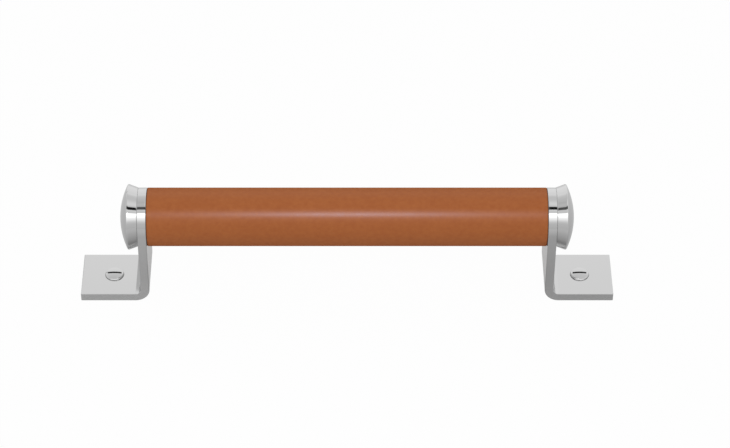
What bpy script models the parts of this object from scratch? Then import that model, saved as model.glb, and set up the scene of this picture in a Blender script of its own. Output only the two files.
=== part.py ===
"""Leather pull handle: a leather covered bar carried between two bent feet.

The bar lies along X. The feet stand on the plane Z = 0, which is the face of the door,
and +Z points away from the door. X = 0 is midway between the feet. Sizes are in metres.
"""
import math

import bmesh
import bpy
from mathutils import Matrix, Vector

# Grip: a solid round bar with one strip of leather wrapped and glued round it
GRIP_DIAMETER = 0.0200
GRIP_LENGTH = 0.1363
AXIS_HEIGHT = 0.0300
LEATHER_THICKNESS = 0.0014
LEATHER_EDGE_ROUND = 0.0003
LEATHER_END_GAP = 0.0001
SEAM_GAP = 0.0004
GLUE_LINE = 0.0003
BAR_END_CHAMFER = 0.0005

# Feet: flat strip with a round upper end, bent once at a right angle
STRIP_WIDTH = 0.0200
STRIP_THICKNESS = 0.0030
STRIP_EDGE_ROUND = 0.00015
FOOT_LENGTH = 0.0238
BEND_INNER_RADIUS = 0.0020
SCREW_FROM_FOOT_END = 0.0111
SCREW_HOLE_DIAMETER = 0.0038
COUNTERSINK_DIAMETER = 0.0066

# End caps: turned, flared outwards to a rim and domed
CAP_BASE_DIAMETER = 0.0200
CAP_RIM_DIAMETER = 0.0226
CAP_FLARE_LENGTH = 0.0035
CAP_DOME_RISE = 0.00272
CAP_BASE_ROUND = 0.0003
CAP_RIM_ROUND = 0.0004

# Studs: headless socket screws that pull cap, foot and bar together
STUD_DIAMETER = 0.0060
STUD_IN_BAR = 0.0130
STUD_IN_CAP = 0.0040
STUD_CHAMFER = 0.0006
STUD_SOCKET_WIDTH = 0.0030
STUD_SOCKET_DEPTH = 0.0030
THREAD_GAP = 0.0003
BORE_RUN_OUT = 0.0005
DRILL_POINT_ANGLE = math.radians(118)

# Foot screws: slotted, with a raised countersunk head
SCREW_HEAD_DIAMETER = 0.0059
SCREW_DOME_RISE = 0.0007
SCREW_SHANK_DIAMETER = 0.0029
SCREW_LENGTH = 0.0100
SCREW_POINT_LENGTH = 0.0030
SCREW_SLOT_WIDTH = 0.0008
SCREW_SLOT_DEPTH = 0.0010
SCREW_SEAT_GAP = 0.0003
COUNTERSINK_SLOPE = math.radians(45)

# How finely the round stretches are divided
GRIP_STEPS = 96
BAR_STEPS = 48
CAP_STEPS = 72
SMALL_STEPS = 32
BEND_STEPS = 10
ROUND_END_STEPS = 36
DOME_STEPS = 8
FILLET_STEPS = 3
BEVEL_STEPS = 2

CUT_MARGIN = 0.0020
MERGE_DISTANCE = 0.000001
SHARP_ANGLE = math.radians(30)

PARTS_NAME = "leather_pull_handle"
CUTTERS_NAME = "cutters"


def clear_scene():
    """Empties the scene that the script starts in."""
    for item in list(bpy.data.objects):
        bpy.data.objects.remove(item, do_unlink=True)
    for group in list(bpy.data.collections):
        bpy.data.collections.remove(group)


def new_collection(name):
    group = bpy.data.collections.new(name)
    bpy.context.scene.collection.children.link(group)
    return group


def new_material(name, colour, metallic, roughness):
    material = bpy.data.materials.new(name)
    material.use_nodes = True
    shader = material.node_tree.nodes["Principled BSDF"]
    shader.inputs["Base Color"].default_value = (*colour, 1.0)
    shader.inputs["Metallic"].default_value = metallic
    shader.inputs["Roughness"].default_value = roughness
    material.diffuse_color = (*colour, 1.0)
    return material


def polished_chrome(name):
    """Bright chrome plate on a brass strip or turning."""
    return new_material(name, (0.60, 0.61, 0.61), 1.0, 0.12)


def tan_leather(name):
    """Smooth dyed leather in a warm tan."""
    return new_material(name, (0.35, 0.11, 0.04), 0.0, 0.50)


def plain_aluminium(name):
    """Turned aluminium bar, left as it comes off the lathe."""
    return new_material(name, (0.68, 0.69, 0.70), 1.0, 0.35)


def zinc_steel(name):
    """Threaded steel with a thin zinc plate."""
    return new_material(name, (0.50, 0.51, 0.53), 1.0, 0.40)


def add_object(name, mesh, group, parent=None):
    item = bpy.data.objects.new(name, mesh)
    group.objects.link(item)
    item.parent = parent
    return item


def as_cutter(item):
    """Marks an object as a guide for a cut and not a piece of the handle."""
    item.hide_render = True
    item.display_type = "WIRE"
    return item


def finish(item, material):
    """Makes the modifiers' result the object's own mesh, smooth but for its sharp edges."""
    depsgraph = bpy.context.evaluated_depsgraph_get()
    mesh = bpy.data.meshes.new_from_object(item.evaluated_get(depsgraph))
    item.modifiers.clear()
    item.data = mesh
    mesh.name = item.name
    mesh.shade_smooth()
    mesh.set_sharp_from_angle(angle=SHARP_ANGLE)
    mesh.materials.clear()
    mesh.materials.append(material)
    return item


def arc_points(centre, radius, start, end, steps):
    """Points of an arc about a centre, both ends included, with the angles in radians."""
    found = []
    for i in range(steps + 1):
        angle = start + (end - start) * i / steps
        found.append((centre[0] + radius * math.cos(angle), centre[1] + radius * math.sin(angle)))
    return found


def rounded_corner(before, corner, after, radius, steps):
    """The arc that touches the two lines meeting at a corner."""
    corner = Vector(corner)
    back = (Vector(before) - corner).normalized()
    ahead = (Vector(after) - corner).normalized()
    half_angle = back.angle(ahead) / 2
    centre = corner + (back + ahead).normalized() * radius / math.sin(half_angle)
    first = corner + back * radius / math.tan(half_angle) - centre
    last = corner + ahead * radius / math.tan(half_angle) - centre
    turn = first.angle_signed(last)
    found = []
    for i in range(steps + 1):
        step = first.copy()
        step.rotate(Matrix.Rotation(-turn * i / steps, 2))
        found.append(tuple(centre + step))
    return found


def dome_points(radius, base, rise, steps):
    """A shallow dome's profile, from its top on the axis out to its edge at the base."""
    sphere = (radius * radius + rise * rise) / (2 * rise)
    spread = math.asin(min(1.0, radius / sphere))
    centre = (0.0, base + rise - sphere)
    return arc_points(centre, sphere, math.pi / 2, math.pi / 2 - spread, steps)


def drill_point(radius):
    """Height of the cone that a drill leaves at the bottom of a hole."""
    return radius / math.tan(DRILL_POINT_ANGLE / 2)


def turned_mesh(name, profile):
    """Edges of a turned piece's profile as (radius, height), outer side from top to bottom."""
    mesh = bpy.data.meshes.new(name)
    points = [(radius, 0.0, height) for radius, height in profile]
    mesh.from_pydata(points, [(i, i + 1) for i in range(len(points) - 1)], [])
    return mesh


def turn(item, steps, angle=2 * math.pi):
    """Turns the profile about the object's Z axis."""
    screw = item.modifiers.new("turn", "SCREW")
    screw.axis = "Z"
    screw.angle = angle
    screw.steps = steps
    screw.render_steps = steps
    screw.use_merge_vertices = True
    screw.merge_threshold = MERGE_DISTANCE
    return item


def flat_prism(name, outline, half_depth):
    """A closed outline extruded both ways from its own plane, as a mesh."""
    curve = bpy.data.curves.new(name, "CURVE")
    curve.dimensions = "2D"
    curve.fill_mode = "BOTH"
    curve.extrude = half_depth
    spline = curve.splines.new("POLY")
    spline.points.add(len(outline) - 1)
    for point, place in zip(spline.points, outline):
        point.co = (place[0], place[1], 0.0, 1.0)
    spline.use_cyclic_u = True
    guide = bpy.data.objects.new(name, curve)
    bpy.context.scene.collection.objects.link(guide)
    depsgraph = bpy.context.evaluated_depsgraph_get()
    mesh = bpy.data.meshes.new_from_object(guide.evaluated_get(depsgraph))
    mesh.name = name
    bpy.data.objects.remove(guide, do_unlink=True)
    bpy.data.curves.remove(curve)
    shape = bmesh.new()
    shape.from_mesh(mesh)
    bmesh.ops.remove_doubles(shape, verts=shape.verts, dist=MERGE_DISTANCE)
    bmesh.ops.recalc_face_normals(shape, faces=shape.faces)
    shape.to_mesh(mesh)
    shape.free()
    return mesh


def cone_mesh(name, low_radius, high_radius, low, high, steps):
    """A closed cone or cylinder about Z between two heights."""
    mesh = bpy.data.meshes.new(name)
    shape = bmesh.new()
    place = Matrix.Translation((0.0, 0.0, (low + high) / 2))
    bmesh.ops.create_cone(
        shape,
        cap_ends=True,
        segments=steps,
        radius1=low_radius,
        radius2=high_radius,
        depth=high - low,
        matrix=place,
    )
    shape.to_mesh(mesh)
    shape.free()
    return mesh


def box_mesh(name, low, high):
    """A closed box between its lowest and its highest corner."""
    mesh = bpy.data.meshes.new(name)
    shape = bmesh.new()
    size = Vector(high) - Vector(low)
    place = Matrix.Translation((Vector(low) + Vector(high)) / 2)
    bmesh.ops.create_cube(shape, size=1.0, matrix=place @ Matrix.Diagonal((*size, 1.0)))
    shape.to_mesh(mesh)
    shape.free()
    return mesh


def combine(item, tool, operation):
    """Cuts a piece with a tool, or keeps only what the two share."""
    change = item.modifiers.new(f"{operation.lower()} {tool.name}", "BOOLEAN")
    change.operation = operation
    change.solver = "EXACT"
    change.object = tool
    return item


def round_edges(item, width, steps):
    """Rounds every edge that is sharper than the limit."""
    bevel = item.modifiers.new("rounded edges", "BEVEL")
    bevel.width = width
    bevel.segments = steps
    bevel.limit_method = "ANGLE"
    bevel.angle_limit = SHARP_ANGLE
    return item


def bar_radius():
    """The bar under the leather: what the grip's diameter leaves for it."""
    return GRIP_DIAMETER / 2 - LEATHER_THICKNESS - GLUE_LINE


def stud_bore_radius():
    return STUD_DIAMETER / 2 + THREAD_GAP


def core_bar_profile():
    """A round bar with a chamfer and a tapped blind bore at each end."""
    radius = bar_radius()
    bore = stud_bore_radius()
    end = GRIP_LENGTH / 2
    floor = end - STUD_IN_BAR - BORE_RUN_OUT
    tip = floor - drill_point(bore)
    upper = [
        (0.0, tip),
        (bore, floor),
        (bore, end),
        (radius - BAR_END_CHAMFER, end),
        (radius, end - BAR_END_CHAMFER),
    ]
    return upper + [(r, -height) for r, height in reversed(upper)]


def make_core_bar(parts):
    item = add_object("core_bar", turned_mesh("core_bar", core_bar_profile()), parts)
    item.location = (0.0, 0.0, AXIS_HEIGHT)
    item.rotation_euler = (0.0, math.pi / 2, 0.0)
    turn(item, BAR_STEPS)
    return finish(item, plain_aluminium("turned aluminium"))


def make_leather_sleeve(parts):
    """One strip of leather round the bar, its two long edges meeting on the side of the door."""
    radius = GRIP_DIAMETER / 2
    end = GRIP_LENGTH / 2 - LEATHER_END_GAP
    seam = SEAM_GAP / radius
    item = add_object("leather_sleeve", turned_mesh("leather_sleeve", [(radius, end), (radius, -end)]), parts)
    item.location = (0.0, 0.0, AXIS_HEIGHT)
    item.rotation_mode = "QUATERNION"
    along_bar = Matrix.Rotation(math.pi / 2, 3, "Y")
    seam_to_door = Matrix.Rotation(seam / 2, 3, "Z")
    item.rotation_quaternion = (along_bar @ seam_to_door).to_quaternion()
    turn(item, GRIP_STEPS, 2 * math.pi - seam)
    wall = item.modifiers.new("leather thickness", "SOLIDIFY")
    wall.thickness = LEATHER_THICKNESS
    wall.offset = -1.0
    wall.use_even_offset = True
    round_edges(item, min(LEATHER_EDGE_ROUND, LEATHER_THICKNESS / 3), BEVEL_STEPS)
    return finish(item, tan_leather("tan leather"))


def strip_side_outline():
    """The bent strip seen from the side: x from the arm's inner face, y up from the door."""
    outer = BEND_INNER_RADIUS + STRIP_THICKNESS
    centre = (outer, outer)
    top = AXIS_HEIGHT + STRIP_WIDTH / 2 + CUT_MARGIN
    outside = arc_points(centre, outer, math.pi, 1.5 * math.pi, BEND_STEPS)
    inside = arc_points(centre, BEND_INNER_RADIUS, 1.5 * math.pi, math.pi, BEND_STEPS)
    foot_end = [(FOOT_LENGTH, 0.0), (FOOT_LENGTH, STRIP_THICKNESS)]
    return outside + foot_end + inside + [(STRIP_THICKNESS, top), (0.0, top)]


def strip_front_outline():
    """The strip seen from its end: straight sides and a half round top about the bar's axis."""
    half = STRIP_WIDTH / 2
    top = arc_points((0.0, AXIS_HEIGHT), half, 0.0, math.pi, ROUND_END_STEPS)
    return [(-half, -CUT_MARGIN), (half, -CUT_MARGIN)] + top


def make_bracket(name, end, parts, cutters):
    """A foot and its arm, bent from one strip, with the stud's hole and the countersunk hole."""
    side = flat_prism(name, strip_side_outline(), STRIP_WIDTH / 2 + CUT_MARGIN)
    side.transform(Matrix.Rotation(math.pi / 2, 4, "X"))
    item = add_object(name, side, parts, end)
    item.location = (GRIP_LENGTH / 2, 0.0, 0.0)

    front = flat_prism(f"{name}_outline", strip_front_outline(), FOOT_LENGTH / 2 + CUT_MARGIN)
    front.transform(Matrix.Rotation(math.pi / 2, 4, "Z") @ Matrix.Rotation(math.pi / 2, 4, "X"))
    outline = as_cutter(add_object(f"{name}_outline", front, cutters, end))
    outline.location = (GRIP_LENGTH / 2 + FOOT_LENGTH / 2, 0.0, 0.0)
    combine(item, outline, "INTERSECT")
    round_edges(item, STRIP_EDGE_ROUND, BEVEL_STEPS)

    bore = stud_bore_radius()
    drill = cone_mesh(f"{name}_bore", bore, bore, -CUT_MARGIN, STRIP_THICKNESS + CUT_MARGIN, SMALL_STEPS)
    hole = as_cutter(add_object(f"{name}_bore", drill, cutters, end))
    hole.location = (GRIP_LENGTH / 2, 0.0, AXIS_HEIGHT)
    hole.rotation_euler = (0.0, math.pi / 2, 0.0)
    combine(item, hole, "DIFFERENCE")

    countersink = turned_mesh(f"{name}_countersink", countersink_profile())
    sink = as_cutter(add_object(f"{name}_countersink", countersink, cutters, end))
    sink.location = screw_place()
    turn(sink, SMALL_STEPS)
    combine(item, sink, "DIFFERENCE")
    return finish(item, polished_chrome(f"{name} chrome"))


def screw_place():
    """Centre of the foot's hole, on the foot's upper face, on the +X side."""
    return (GRIP_LENGTH / 2 + FOOT_LENGTH - SCREW_FROM_FOOT_END, 0.0, STRIP_THICKNESS)


def countersink_profile():
    """The countersunk hole as a cutting tool: a cone, then the plain hole below it."""
    mouth = COUNTERSINK_DIAMETER / 2
    hole = SCREW_HOLE_DIAMETER / 2
    slope = math.tan(COUNTERSINK_SLOPE)
    above = CUT_MARGIN
    throat = -(mouth - hole) / slope
    below = -STRIP_THICKNESS - CUT_MARGIN
    return [
        (0.0, above),
        (mouth + above * slope, above),
        (hole, throat),
        (hole, below),
        (0.0, below),
    ]


def screw_profile():
    """A raised countersunk head, a shank and a point, with the foot's upper face at height 0."""
    head = SCREW_HEAD_DIAMETER / 2
    shank = SCREW_SHANK_DIAMETER / 2
    slope = math.tan(COUNTERSINK_SLOPE)
    sideways = SCREW_SEAT_GAP / math.cos(COUNTERSINK_SLOPE)
    edge = -(COUNTERSINK_DIAMETER / 2 - head - sideways) / slope
    neck = edge - (head - shank) / slope
    dome = dome_points(head, edge, SCREW_DOME_RISE, DOME_STEPS)
    return dome + [(shank, neck), (shank, SCREW_POINT_LENGTH - SCREW_LENGTH), (0.0, -SCREW_LENGTH)]


def make_foot_screw(name, end, parts, cutters):
    profile = screw_profile()
    item = add_object(name, turned_mesh(name, profile), parts, end)
    item.location = screw_place()
    turn(item, SMALL_STEPS)
    top = profile[0][1]
    reach = SCREW_HEAD_DIAMETER / 2 + CUT_MARGIN
    half = SCREW_SLOT_WIDTH / 2
    low = (-reach, -half, top - SCREW_SLOT_DEPTH)
    slot_mesh = box_mesh(f"{name}_slot", low, (reach, half, top + CUT_MARGIN))
    slot = as_cutter(add_object(f"{name}_slot", slot_mesh, cutters, end))
    slot.location = screw_place()
    combine(item, slot, "DIFFERENCE")
    return finish(item, polished_chrome(f"{name} chrome"))


def cap_profile():
    """Dome, rim, flare and base of a cap, with the blind bore that takes the stud.

    The bore has a flat floor, because a drill's point would come through the dome.
    """
    base = CAP_BASE_DIAMETER / 2
    rim = CAP_RIM_DIAMETER / 2
    bore = stud_bore_radius()
    floor = STUD_IN_CAP + BORE_RUN_OUT
    dome = dome_points(rim, CAP_FLARE_LENGTH, CAP_DOME_RISE, DOME_STEPS)
    rim_round = rounded_corner(dome[-2], dome[-1], (base, 0.0), CAP_RIM_ROUND, FILLET_STEPS)
    base_round = rounded_corner(dome[-1], (base, 0.0), (bore, 0.0), CAP_BASE_ROUND, FILLET_STEPS)
    mouth = [(bore, 0.0), (bore, floor), (0.0, floor)]
    return dome[:-1] + rim_round + base_round + mouth


def make_end_cap(name, end, parts):
    item = add_object(name, turned_mesh(name, cap_profile()), parts, end)
    item.location = (GRIP_LENGTH / 2 + STRIP_THICKNESS, 0.0, AXIS_HEIGHT)
    item.rotation_euler = (0.0, math.pi / 2, 0.0)
    turn(item, CAP_STEPS)
    return finish(item, polished_chrome(f"{name} chrome"))


def make_tie_stud(name, end, parts, cutters):
    """A headless screw through the arm's hole, in the bar on one side and in the cap on the other."""
    radius = STUD_DIAMETER / 2
    top = STRIP_THICKNESS + STUD_IN_CAP
    low = -STUD_IN_BAR
    profile = [
        (0.0, top),
        (radius - STUD_CHAMFER, top),
        (radius, top - STUD_CHAMFER),
        (radius, low + STUD_CHAMFER),
        (radius - STUD_CHAMFER, low),
        (0.0, low),
    ]
    item = add_object(name, turned_mesh(name, profile), parts, end)
    item.location = (GRIP_LENGTH / 2, 0.0, AXIS_HEIGHT)
    item.rotation_euler = (0.0, math.pi / 2, 0.0)
    turn(item, SMALL_STEPS)
    corner = STUD_SOCKET_WIDTH / math.sqrt(3)
    key = cone_mesh(f"{name}_socket", corner, corner, top - STUD_SOCKET_DEPTH, top + CUT_MARGIN, 6)
    socket = as_cutter(add_object(f"{name}_socket", key, cutters, end))
    socket.location = item.location
    socket.rotation_euler = item.rotation_euler
    combine(item, socket, "DIFFERENCE")
    return finish(item, zinc_steel(f"{name} steel"))


def main():
    clear_scene()
    parts = new_collection(PARTS_NAME)
    cutters = new_collection(CUTTERS_NAME)
    make_core_bar(parts)
    make_leather_sleeve(parts)
    for side, turned_by in (("left", math.pi), ("right", 0.0)):
        end = add_object(f"{side}_end", None, parts)
        end.rotation_euler = (0.0, 0.0, turned_by)
        make_bracket(f"{side}_bracket", end, parts, cutters)
        make_end_cap(f"{side}_end_cap", end, parts)
        make_tie_stud(f"{side}_tie_stud", end, parts, cutters)
        make_foot_screw(f"{side}_foot_screw", end, parts, cutters)


main()
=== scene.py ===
"""Dresses the leather pull handle: tan leather, chrome plate, a white floor, a light tent and a camera.

Lengths are in metres and in the part's own frame: the bar lies along X, the feet stand on Z = 0.
"""
import math

import bmesh
import bpy
import numpy as np
from bpy.props import FloatProperty, PointerProperty, StringProperty
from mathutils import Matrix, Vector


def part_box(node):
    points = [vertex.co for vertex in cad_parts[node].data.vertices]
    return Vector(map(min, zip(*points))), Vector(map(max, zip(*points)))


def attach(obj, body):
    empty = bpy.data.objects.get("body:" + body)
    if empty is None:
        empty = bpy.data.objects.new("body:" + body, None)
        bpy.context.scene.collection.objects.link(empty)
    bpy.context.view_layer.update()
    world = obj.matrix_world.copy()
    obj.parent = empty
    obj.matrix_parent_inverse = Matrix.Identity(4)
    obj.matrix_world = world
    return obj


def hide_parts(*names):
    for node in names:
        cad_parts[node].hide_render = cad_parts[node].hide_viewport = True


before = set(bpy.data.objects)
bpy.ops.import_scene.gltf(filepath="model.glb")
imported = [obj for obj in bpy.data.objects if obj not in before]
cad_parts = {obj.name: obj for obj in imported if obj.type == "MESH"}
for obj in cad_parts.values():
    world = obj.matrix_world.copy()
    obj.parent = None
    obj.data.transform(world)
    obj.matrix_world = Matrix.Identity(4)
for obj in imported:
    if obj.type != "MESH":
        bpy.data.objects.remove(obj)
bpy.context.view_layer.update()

bl_info = {
    "name": "Leather Pull Handle",
    "version": (1, 0, 0),
    "blender": (4, 5, 0),
    "location": "3D View > Sidebar > Pull Handle",
    "description": "Builds the finished surfaces of a leather pull handle, its stage and its camera",
    "category": "Add Mesh",
}

MM = 0.001
SIDES = (("left", -1.0), ("right", 1.0))
QUARTER = math.pi / 2
MERGE_DISTANCE = 0.0002 * MM
SHARP_ANGLE = math.radians(32)
WHITE = (1.0, 1.0, 1.0, 1.0)

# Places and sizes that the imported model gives
SLEEVE_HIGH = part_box("leather_sleeve")[1]
STRIP_LOW, STRIP_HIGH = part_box("right_bracket")
CAP_LOW, CAP_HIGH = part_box("right_end_cap")
SCREW_LOW, SCREW_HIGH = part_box("right_foot_screw")
BAR_LOW, BAR_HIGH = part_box("core_bar")
STUD_LOW, STUD_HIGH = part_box("right_tie_stud")
AXIS_HEIGHT = (BAR_LOW[2] + BAR_HIGH[2]) / 2
GRIP_RADIUS = SLEEVE_HIGH[2] - AXIS_HEIGHT
BAR_RADIUS = BAR_HIGH[2] - AXIS_HEIGHT
STRIP_THICKNESS = CAP_LOW[0] - STRIP_LOW[0]
STRIP_HALF_WIDTH = STRIP_HIGH[1]
FOOT_LENGTH = STRIP_HIGH[0] - STRIP_LOW[0]
SCREW_X = (SCREW_LOW[0] + SCREW_HIGH[0]) / 2
SCREW_TIP = SCREW_LOW[2] - STRIP_THICKNESS
HEAD_RADIUS = SCREW_HIGH[1]
STUD_RADIUS = STUD_HIGH[2] - AXIS_HEIGHT

# Sizes of the plain solids that their boxes don't give
GLUE_LINE = 0.3 * MM
THREAD_GAP = 0.3 * MM
BORE_RUN_OUT = 0.5 * MM
STUD_CHAMFER = 0.6 * MM
BEND_OUTER_RADIUS = 5.0 * MM
SINK_RADIUS = 3.3 * MM
SCREW_HOLE_RADIUS = 1.9 * MM
SHANK_RADIUS = 1.45 * MM
SCREW_POINT = 3.0 * MM
CAP_BASE_RADIUS = 10.0 * MM
CAP_FLARE_LENGTH = 3.5 * MM
STUD_BORE = STUD_RADIUS + THREAD_GAP
FOOT_FLAT = FOOT_LENGTH - BEND_OUTER_RADIUS
ARM_START = FOOT_FLAT + (BEND_OUTER_RADIUS - STRIP_THICKNESS / 2) * QUARTER
ARM_CENTRE = ARM_START + AXIS_HEIGHT - BEND_OUTER_RADIUS
SCREW_ALONG = STRIP_HIGH[0] - SCREW_X

# Sizes of the fine meshes alone; their screw heads are a little fuller than the plain solids' heads
LEATHER_INNER_ROUND = 0.1 * MM
LEATHER_CORNER_EXTRA = 0.15 * MM
SINK_LIP_ROUND = 0.12 * MM
HEAD_PROUD = 0.15 * MM
HEAD_SPREAD = 0.36 * MM
HEAD_TOP = SCREW_HIGH[2] - STRIP_THICKNESS + HEAD_PROUD
TIP_RADIUS = 0.05 * MM
DOME_TO_RIM_GAP = 0.02 * MM

# How far the sharp corners of head and cap rim are set out, as shares of their rounding
HEAD_CORNER_SHARE = 0.7
RIM_CORNER_SHARE = 0.252

# Threads: sharp ridge over flat crest, the studs' depth over their pitch, a screw's core over its shank
RIDGE_OVER_CREST = 1.15
STUD_THREAD_DEPTH = 0.54
CORE_OVER_SHANK = 0.7

# Steps of the meshes; the leather's run along the grip and round it
LEATHER_STEPS = (220, 120)
HALF_CORNER_STEPS = 4
EDGE_STEPS = 6
LAND_STEPS = 4
FOOT_END_STEPS = 16
FOOT_STEPS = 48
BEND_STEPS = 24
TOP_STEPS = 64
ACROSS_STEPS = 39
LIP_STEPS = 4
CONE_STEPS = 3
CAP_DOME_STEPS = 60
CAP_RIM_STEPS = 8
CAP_FLARE_STEPS = 12
CAP_TURN_STEPS = 256
HEAD_DOME_STEPS = 24
HEAD_RIM_STEPS = 12
HALF_TURN_STEPS = 48
SLOT_STEPS = 8
SLOT_WALL_STEPS = 6
WOOD_THREAD_STEPS = 10
STUD_THREAD_STEPS = 8
STUD_TURN_STEPS = 48

# Rings of a face from its border (0) to its hole (1), and its outermost inner row over its half width
RING_SHARES = (0.0, 0.008, 0.03, *np.linspace(0.1, 0.9, 6), 0.97, 0.992, 1.0)
OUTER_ROW = 0.97

# Widths of the finishes' patterns, and the radians that the wave texture turns in a metre at scale 1
CREASE_SIZE = 1.6 * MM
TRIM_WIDTH = 0.5 * MM
FILM_SIZE = 5.0 * MM
LATHE_FEED = 0.4 * MM
PATCH_SIZE = 1.2 * MM
# Width of the random mottle in the slot's painted shade
SLOT_SHADE_MOTTLE_SIZE = 0.4 * MM
FIBRE_SIZE = 40 * MM
WAVE_TURN = 20

# Where the leather's gloss fades as its face turns away from the eye: 0 is towards it and 1 edge on
GLOSS_FADE = (0.22, 0.75)

# Strength of the tent's cloth by its angle over the bar, in degrees: a soft box in front with
# the dark edge of its frame above it, then paler cloth overhead and behind
FRONT_BOX = (
    (0, 0.62), (14, 0.66), (22, 0.80), (30, 1.10), (38, 1.35), (46, 1.8), (53.5, 2.4), (56, 1.3),
)
BACK_CLOTH = (
    (126, 0.75), (131, 0.81), (135, 0.89), (137.7, 0.955), (143, 0.93), (158, 0.98), (180, 1.0),
)
LEFT_TENT = (
    *FRONT_BOX,
    (58, 0.80), (63, 0.76), (68, 0.84), (70.3, 0.62), (71.8, 0.10), (80.4, 0.10), (82.5, 0.58),
    (88, 0.66), (92, 0.67), (96, 0.64), (101, 0.61), (106, 0.66), (114, 0.68), *BACK_CLOTH,
)
RIGHT_TENT = (
    *FRONT_BOX,
    (58, 0.84), (63, 0.80), (68, 0.92), (70.3, 0.70), (71.3, 0.01), (80.8, 0.01), (83, 0.72),
    (88, 0.87), (92, 0.92), (97, 0.92), (101, 0.88), (106, 0.82), (114, 0.74), *BACK_CLOTH,
)

# Strength of the table by its place from front to back, in metres, with the handle's shadow painted in as
# darker bands: between the feet, and beside them
BACK_OF_TABLE = ((0.05, 0.60), (0.08, 0.64), (0.15, 0.76), (0.40, 0.95))
BETWEEN_FEET_SHADE = (
    (-0.30, 0.57), (-0.15, 0.56), (-0.09, 0.53), (-0.05, 0.46), (-0.03, 0.38), (-0.018, 0.26),
    (-0.014, 0.28), (-0.011, 0.53), (0.02, 0.56), *BACK_OF_TABLE,
)
LEFT_SHADE = (
    (-0.30, 0.58), (-0.15, 0.575), (-0.09, 0.565), (-0.06, 0.53), (-0.04, 0.48), (-0.022, 0.437),
    (-0.014, 0.465), (0.005, 0.45), (0.02, 0.53), *BACK_OF_TABLE,
)
RIGHT_SHADE = (
    (-0.30, 0.585), (-0.15, 0.575), (-0.09, 0.54), (-0.06, 0.49), (-0.04, 0.42), (-0.022, 0.377),
    (-0.014, 0.40), (0.005, 0.40), (0.02, 0.50), *BACK_OF_TABLE,
)

# Where the table changes from the middle outwards, in metres: to beside the feet, beyond them, and far off
FOOT_EDGE = (0.0678, 0.0686)
FOOT_FADE = (0.10, 0.16)
TABLE_FADE = (0.3, 0.8)

# Strength of the table's paint and glow, of the floor's glow, and of the tent's ends from below upwards
TABLE_PAINT = 0.45
TABLE_GLOW = 0.65
BOARD_GLOW = 0.975
TENT_END_GLOW = (0.60, 1.0)

# Sizes of the stage, in metres; a blend is half as wide as the change from left to right
FLOOR_RADIUS = 4.0
FLOOR_HEIGHT = -0.02 * MM
TENT_RADIUS = 2.5
TENT_BLEND = 0.15
TABLE_BLEND = 0.06
TENT_END = (0.6 * TENT_RADIUS, 0.8 * TENT_RADIUS)
TENT_END_RISE = 0.7 * TENT_RADIUS
TABLE_RADIUS = 0.98 * TENT_RADIUS
TABLE_HEIGHT = 0.03 * MM
ARCH_BACK = 0.30
ARCH_RADII = (0.84 * ARCH_BACK, 0.99 * ARCH_BACK)
ARCH_START = math.radians(102.5)
LAMP_ANGLE = math.radians(51.5)
LAMP_DISTANCE = 0.35
LAMP_WIDTH = 0.04

# Steps of the stage's sheets
DISC_STEPS = 64
ARCH_STEPS = 32
BALL_STEPS = 96


def length(name, description, millimetres):
    """A setting for a length, given in millimetres."""
    return FloatProperty(name=name, description=description, default=millimetres * MM, unit="LENGTH")


def number(name, description, value):
    """A setting for a plain number."""
    return FloatProperty(name=name, description=description, default=value)


def colour(name, description, hex_colour):
    """A setting for an sRGB hex colour."""
    return StringProperty(name=name, description=description, default=hex_colour)


class LeatherSettings(bpy.types.PropertyGroup):
    """Edges, colours and grain of the leather."""

    end_round: length("End rounding", "Radius of the outer edge where the leather is trimmed", 0.25)
    seam_gap: length("Seam gap", "Gap between the two long edges, on the side of the door", 0.4)
    tan: colour("Tan", "Main colour, as sRGB hex", "#A86130")
    dark_tan: colour("Dark tan", "Colour of the deeper clouds in the dye", "#A15A2B")
    cut_edge: colour("Cut edge", "Colour of the trimmed edges", "#8F5025")
    pore_spacing: length("Pore spacing", "Distance between the hair pores", 0.6)
    cloud_size: length("Cloud size", "Width of the soft clouds in the dye", 9.0)
    mottle: number("Mottle", "How far the fine creases sway between both tans", 1.4)


class MetalSettings(bpy.types.PropertyGroup):
    """Edges and colours of the metal pieces."""

    strip_edge: length("Strip edge", "Rounding of the feet's edges", 0.12)
    strip_corner: length("Strip corner", "Radius of the foot's two corners, seen from above", 0.25)
    cap_rim: length("Cap rim", "Rounding of the end caps' rim", 0.5)
    cap_base: length("Cap base", "Rounding of the end caps' edge against the arms", 0.3)
    chrome: colour("Chrome", "Colour of the plate, as sRGB hex", "#D6D6D6")
    aluminium: colour("Aluminium", "Colour of the bar", "#D4D6D8")
    zinc: colour("Zinc", "Colour of the plated studs", "#B6B9BC")


class ScrewSettings(bpy.types.PropertyGroup):
    """Heads and threads."""

    slot_width: length("Slot width", "Width of the foot screws' slot", 0.8)
    slot_length: length("Slot length", "Length of the foot screws' slot", 5.1)
    slot_depth: length("Slot depth", "Depth of the slot in the head's middle", 0.78)
    head_rise: length("Head rise", "Height of the head's dome over its rim", 0.54)
    # Both slot colours are painted shade inside the slot, mottled at random between the darker and the paler
    # tone
    slot_shade_dark: colour("Slot", "Colour inside the slot", "#1E1E1E")
    slot_shade_light: colour("Slot, paler shade", "Colour inside the slot where its painted shade is paler", "#343434")
    head_edge: length("Head edge", "Rounding of the head's rim", 0.5)
    wood_pitch: length("Wood thread pitch", "Advance of the foot screws in one turn", 1.1)
    stud_pitch: length("Stud pitch", "Advance of the studs in one turn", 1.0)
    socket_width: length("Socket width", "Width across the flats of the studs' socket", 3.0)
    socket_depth: length("Socket depth", "Depth of the studs' socket", 3.0)


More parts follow.
